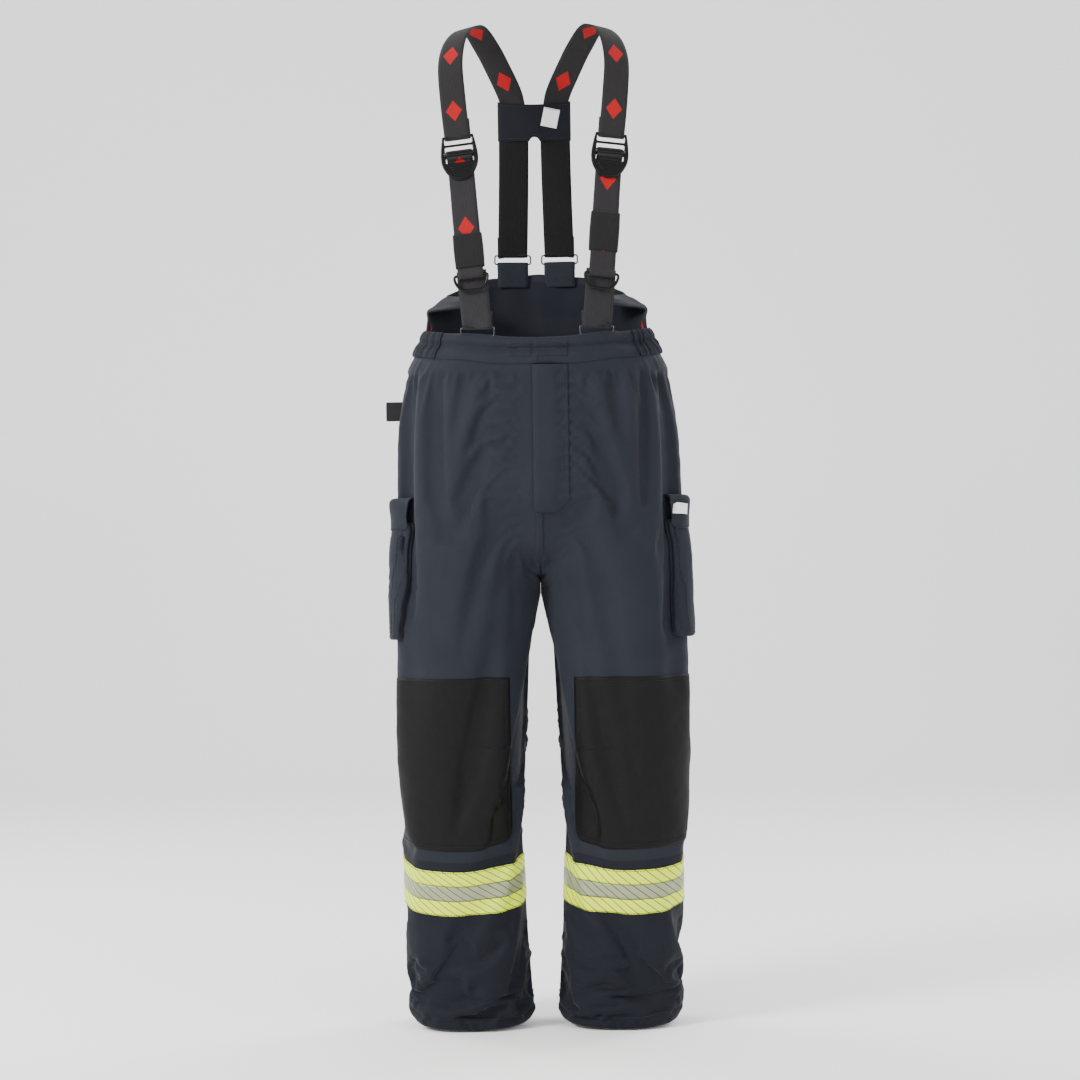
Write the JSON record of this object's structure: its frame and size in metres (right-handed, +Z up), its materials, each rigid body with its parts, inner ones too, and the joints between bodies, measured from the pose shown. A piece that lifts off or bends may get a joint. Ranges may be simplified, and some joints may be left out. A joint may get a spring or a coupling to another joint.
{
  "type": "bunker pants",
  "caption": "Firefighter trousers with a raised back, H-back suspenders, covered zip fly, side cargo pockets, black knee patches and hatched reflective leg bands.",
  "frame": {"origin": "the point midway between the tops of the two shoulder straps, where the garment hangs from its straps", "axes": "+X to the wearer's left, +Y out of the wearer's back, +Z up along the standing wearer"},
  "size_m": [0.4759, 0.308, 1.5865],
  "materials": {
    "shell_cloth": "matte aramid twill, navy",
    "shin_cloth": "matte aramid twill, darker navy on the shins",
    "liner_cloth": "quilted thermal lining",
    "patch_cloth": "coated black aramid",
    "yellow_trim": "fluorescent tape with dark diagonal hatching",
    "silver_trim": "glass-bead retroreflective tape with dark diagonal hatching",
    "webbing": "woven dark grey webbing with small red diamonds",
    "elastic": "black woven elastic",
    "label_cloth": "white woven label, blank",
    "plastic": "black moulded acetal",
    "wire": "bright wire"
  },
  "bodies": {
    "root": {"front_panel_left": "shell_cloth", "back_panel_left": "shell_cloth", "knee_cloth_left": "shell_cloth", "waistband_left": "shell_cloth", "side_elastic_left": "shell_cloth", "pocket_left": "shell_cloth", "back_tab_left": "shell_cloth", "upper_liner_left": "liner_cloth", "waist_webbing_left": "webbing", "lower_strap_left": "webbing", "shoulder_strap_left": "webbing", "keeper_left": "elastic", "back_elastic_left": "elastic", "wire_loop_left": "wire", "back_ring_left": "wire", "front_panel_right": "shell_cloth", "back_panel_right": "shell_cloth", "knee_cloth_right": "shell_cloth", "waistband_right": "shell_cloth", "side_elastic_right": "shell_cloth", "pocket_right": "shell_cloth", "back_tab_right": "shell_cloth", "upper_liner_right": "liner_cloth", "waist_webbing_right": "webbing", "lower_strap_right": "webbing", "shoulder_strap_right": "webbing", "keeper_right": "elastic", "back_elastic_right": "elastic", "wire_loop_right": "wire", "back_ring_right": "wire", "raised_back": "shell_cloth", "waist_tab_base": "shell_cloth", "fly_placket": "shell_cloth", "yoke": "shell_cloth", "zip_tape": "elastic", "zip_chain": "plastic", "yoke_label": "label_cloth", "hip_tab": "webbing"},
    "lower_leg_left": {"lower_leg_left": "shin_cloth", "lower_liner_left": "liner_cloth", "yellow_upper_stripe_left": "yellow_trim", "silver_stripe_left": "silver_trim", "yellow_lower_stripe_left": "yellow_trim", "knee_patch_left": "patch_cloth"},
    "pocket_flap_left": {"pocket_flap_left": "shell_cloth", "pocket_label": "label_cloth"},
    "buckle_left": {"buckle_left": "plastic"},
    "d_ring_left": {"d_ring_left": "plastic"},
    "lower_leg_right": {"lower_leg_right": "shin_cloth", "lower_liner_right": "liner_cloth", "yellow_upper_stripe_right": "yellow_trim", "silver_stripe_right": "silver_trim", "yellow_lower_stripe_right": "yellow_trim", "knee_patch_right": "patch_cloth"},
    "pocket_flap_right": {"pocket_flap_right": "shell_cloth"},
    "buckle_right": {"buckle_right": "plastic"},
    "d_ring_right": {"d_ring_right": "plastic"},
    "fly_flap": {"fly_flap": "shell_cloth"},
    "waist_tab": {"waist_tab": "shell_cloth"},
    "zip_slider": {"zip_slider": "wire"}
  },
  "joints": [
    {"name": "knee_left", "type": "hinge", "parent": "root", "child": "lower_leg_left", "pos_m": [0.128, -0.012, -1.156], "axis": [1, 0, 0], "range_deg": [0, 60], "deforming": ["knee_cloth_left", "knee_patch_left"]},
    {"name": "pocket_flap_left_lift", "type": "hinge", "parent": "root", "child": "pocket_flap_left", "pos_m": [0.2224, 0, -0.741], "axis": [0, -1, 0], "range_deg": [0, 90]},
    {"name": "buckle_left_tilt", "type": "hinge", "parent": "root", "child": "buckle_left", "pos_m": [0.118, -0.094, -0.188], "axis": [-0.9883, -0.1186, 0.096], "range_deg": [0, 30], "deforming": ["lower_strap_left"]},
    {"name": "d_ring_left_swing", "type": "hinge", "parent": "root", "child": "d_ring_left", "pos_m": [0.1, -0.118, -0.403], "axis": [-0.9883, -0.1186, 0.096], "range_deg": [0, 140]},
    {"name": "knee_right", "type": "hinge", "parent": "root", "child": "lower_leg_right", "pos_m": [-0.128, -0.012, -1.156], "axis": [1, 0, 0], "range_deg": [0, 60], "deforming": ["knee_cloth_right", "knee_patch_right"]},
    {"name": "pocket_flap_right_lift", "type": "hinge", "parent": "root", "child": "pocket_flap_right", "pos_m": [-0.2224, 0, -0.741], "axis": [0, 1, 0], "range_deg": [0, 90]},
    {"name": "buckle_right_tilt", "type": "hinge", "parent": "root", "child": "buckle_right", "pos_m": [-0.118, -0.094, -0.188], "axis": [-0.9883, 0.1186, -0.096], "range_deg": [0, 30], "deforming": ["lower_strap_right"]},
    {"name": "d_ring_right_swing", "type": "hinge", "parent": "root", "child": "d_ring_right", "pos_m": [-0.1, -0.118, -0.403], "axis": [-0.9883, 0.1186, -0.096], "range_deg": [0, 140]},
    {"name": "fly_flap_turn", "type": "hinge", "parent": "root", "child": "fly_flap", "pos_m": [0.0457, -0.1459, -0.646], "axis": [0, 0.084, 0.9965], "range_deg": [0, 120]},
    {"name": "waist_tab_turn", "type": "hinge", "parent": "root", "child": "waist_tab", "pos_m": [-0.009, -0.1337, -0.519], "axis": [0, 0.09, 0.9959], "range_deg": [0, 120]},
    {"name": "zip_slide", "type": "slide", "parent": "root", "child": "zip_slider", "axis": [0, -0.0832, -0.9965], "range_m": [0, 0.15]}
  ]
}
